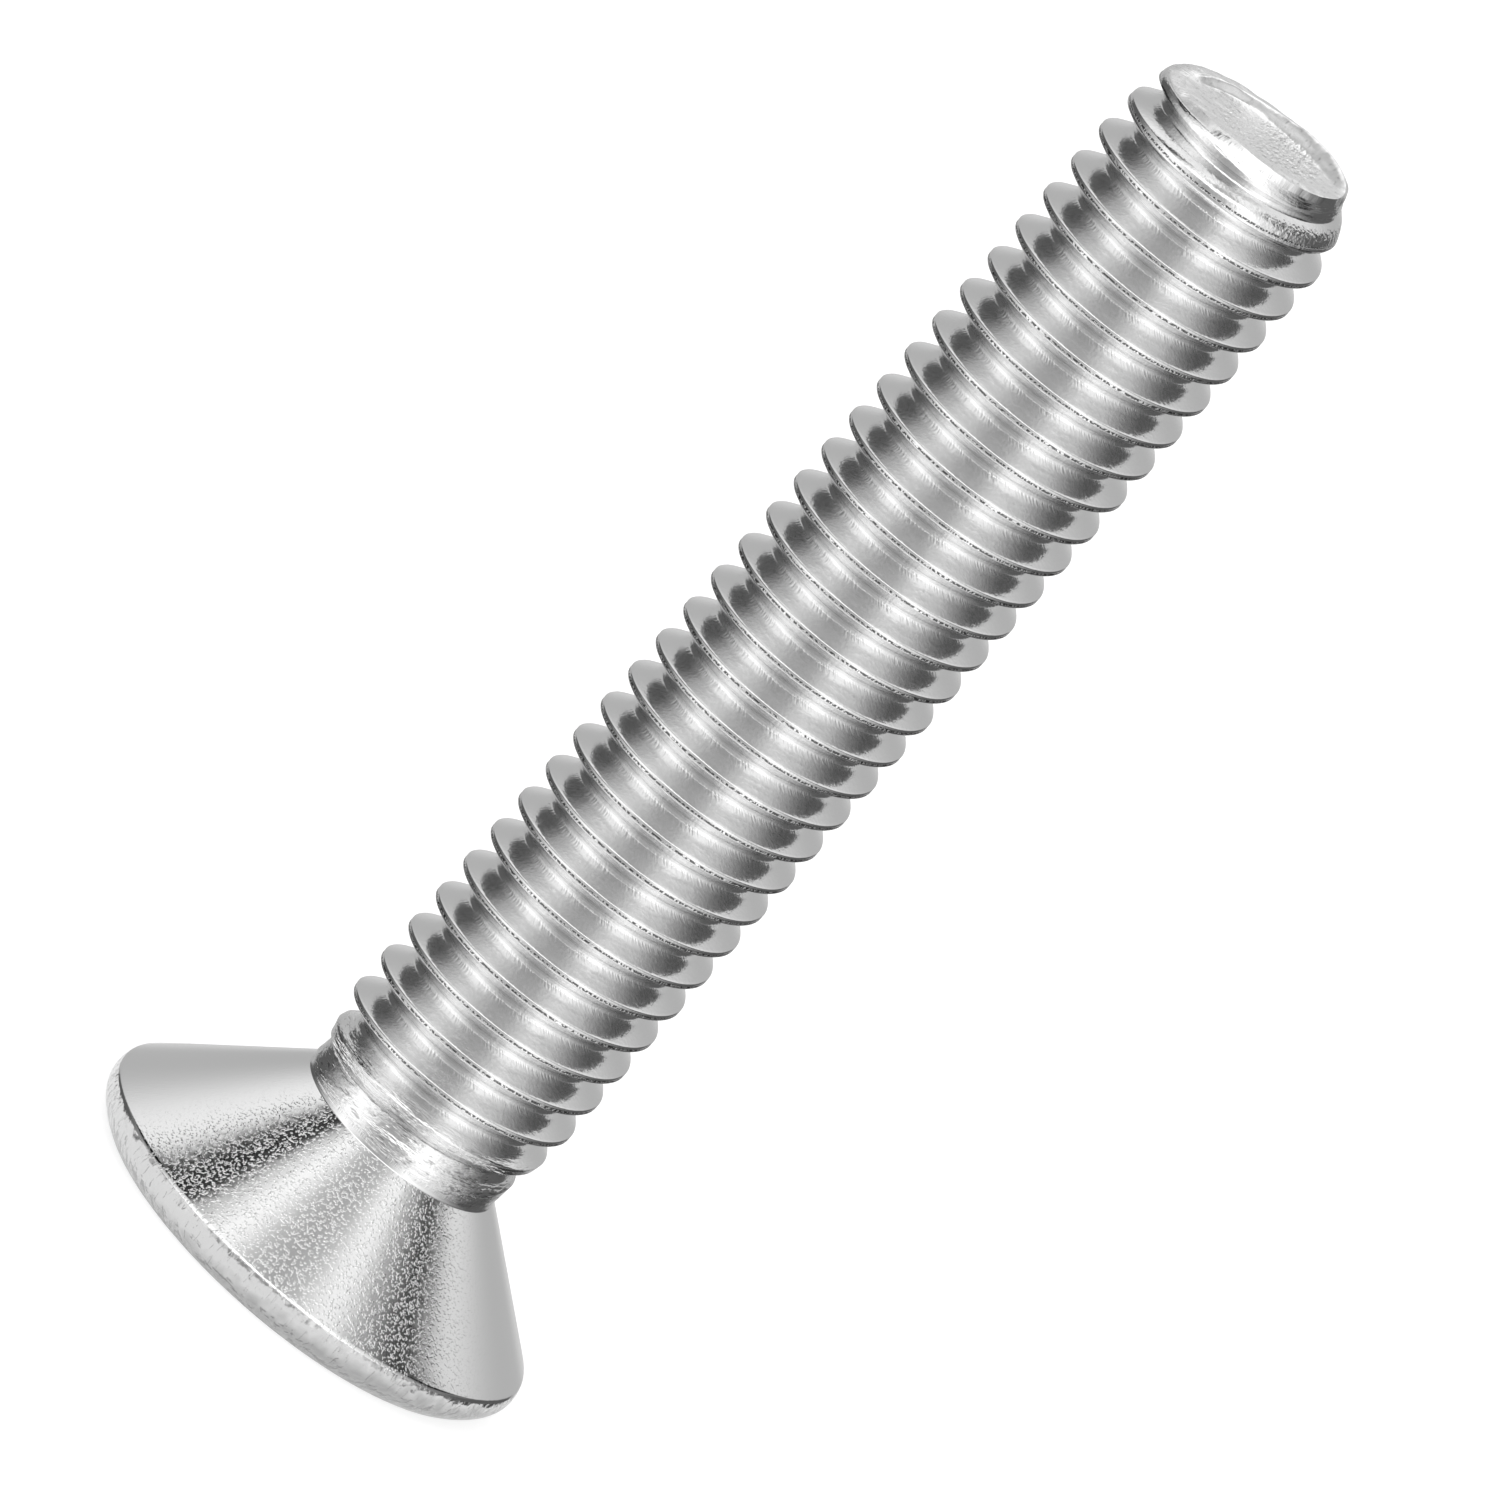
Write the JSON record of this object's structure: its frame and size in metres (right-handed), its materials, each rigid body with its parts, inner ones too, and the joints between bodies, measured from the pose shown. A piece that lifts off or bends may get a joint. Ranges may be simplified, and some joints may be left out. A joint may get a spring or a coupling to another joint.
{
  "type": "countersunk socket screw",
  "caption": "Fully threaded metric countersunk machine screw with a flat conical head and a hexagonal socket.",
  "frame": {"origin": "centre of the head's flat face, which the screw stands on", "axes": "+Z along the screw's axis, from the head's face towards the point; two of the socket's corners lie on the X axis"},
  "size_m": [0.0119, 0.0118, 0.035],
  "materials": {
    "stainless": "bright plain stainless steel: smooth rolled thread, finely grained cone, radial grain on the face of the head, rough end face"
  },
  "bodies": {
    "root": {"screw": "stainless"}
  },
  "joints": []
}
